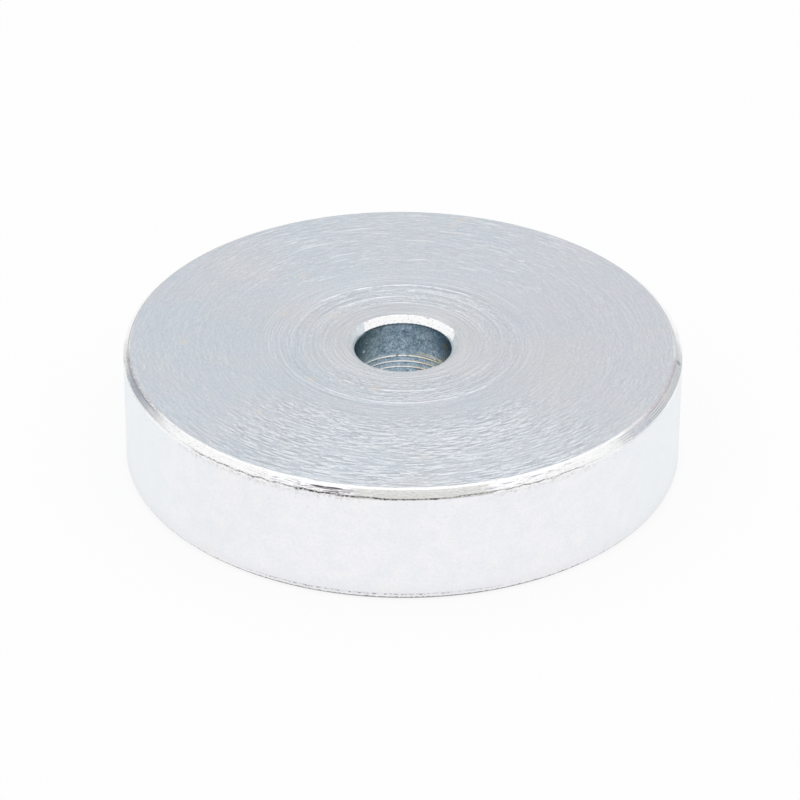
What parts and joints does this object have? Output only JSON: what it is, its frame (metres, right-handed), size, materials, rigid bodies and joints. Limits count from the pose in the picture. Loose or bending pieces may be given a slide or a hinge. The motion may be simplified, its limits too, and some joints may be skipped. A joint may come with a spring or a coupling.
{
  "type": "pot magnet",
  "caption": "Flat round pot magnet in a turned, zinc-plated steel pot with a plain through bore, screwed down to hold steel parts on its open face.",
  "frame": {"origin": "on the axis, in the plane of the pot's rim, which is the holding face", "axes": "+Z along the axis, from the holding face to the closed back; X and Y are free, because the part is round"},
  "size_m": [0.032, 0.032, 0.007],
  "materials": {
    "zinc_plate": "face-turned and turned steel, blue-white zinc plated",
    "nickel_plate": "satin nickel plate on the sintered magnet",
    "casting_resin": "dark casting resin, slightly dished"
  },
  "bodies": {
    "root": {"steel_pot": "zinc_plate", "magnet_ring": "nickel_plate", "gap_resin": "casting_resin"}
  },
  "joints": []
}
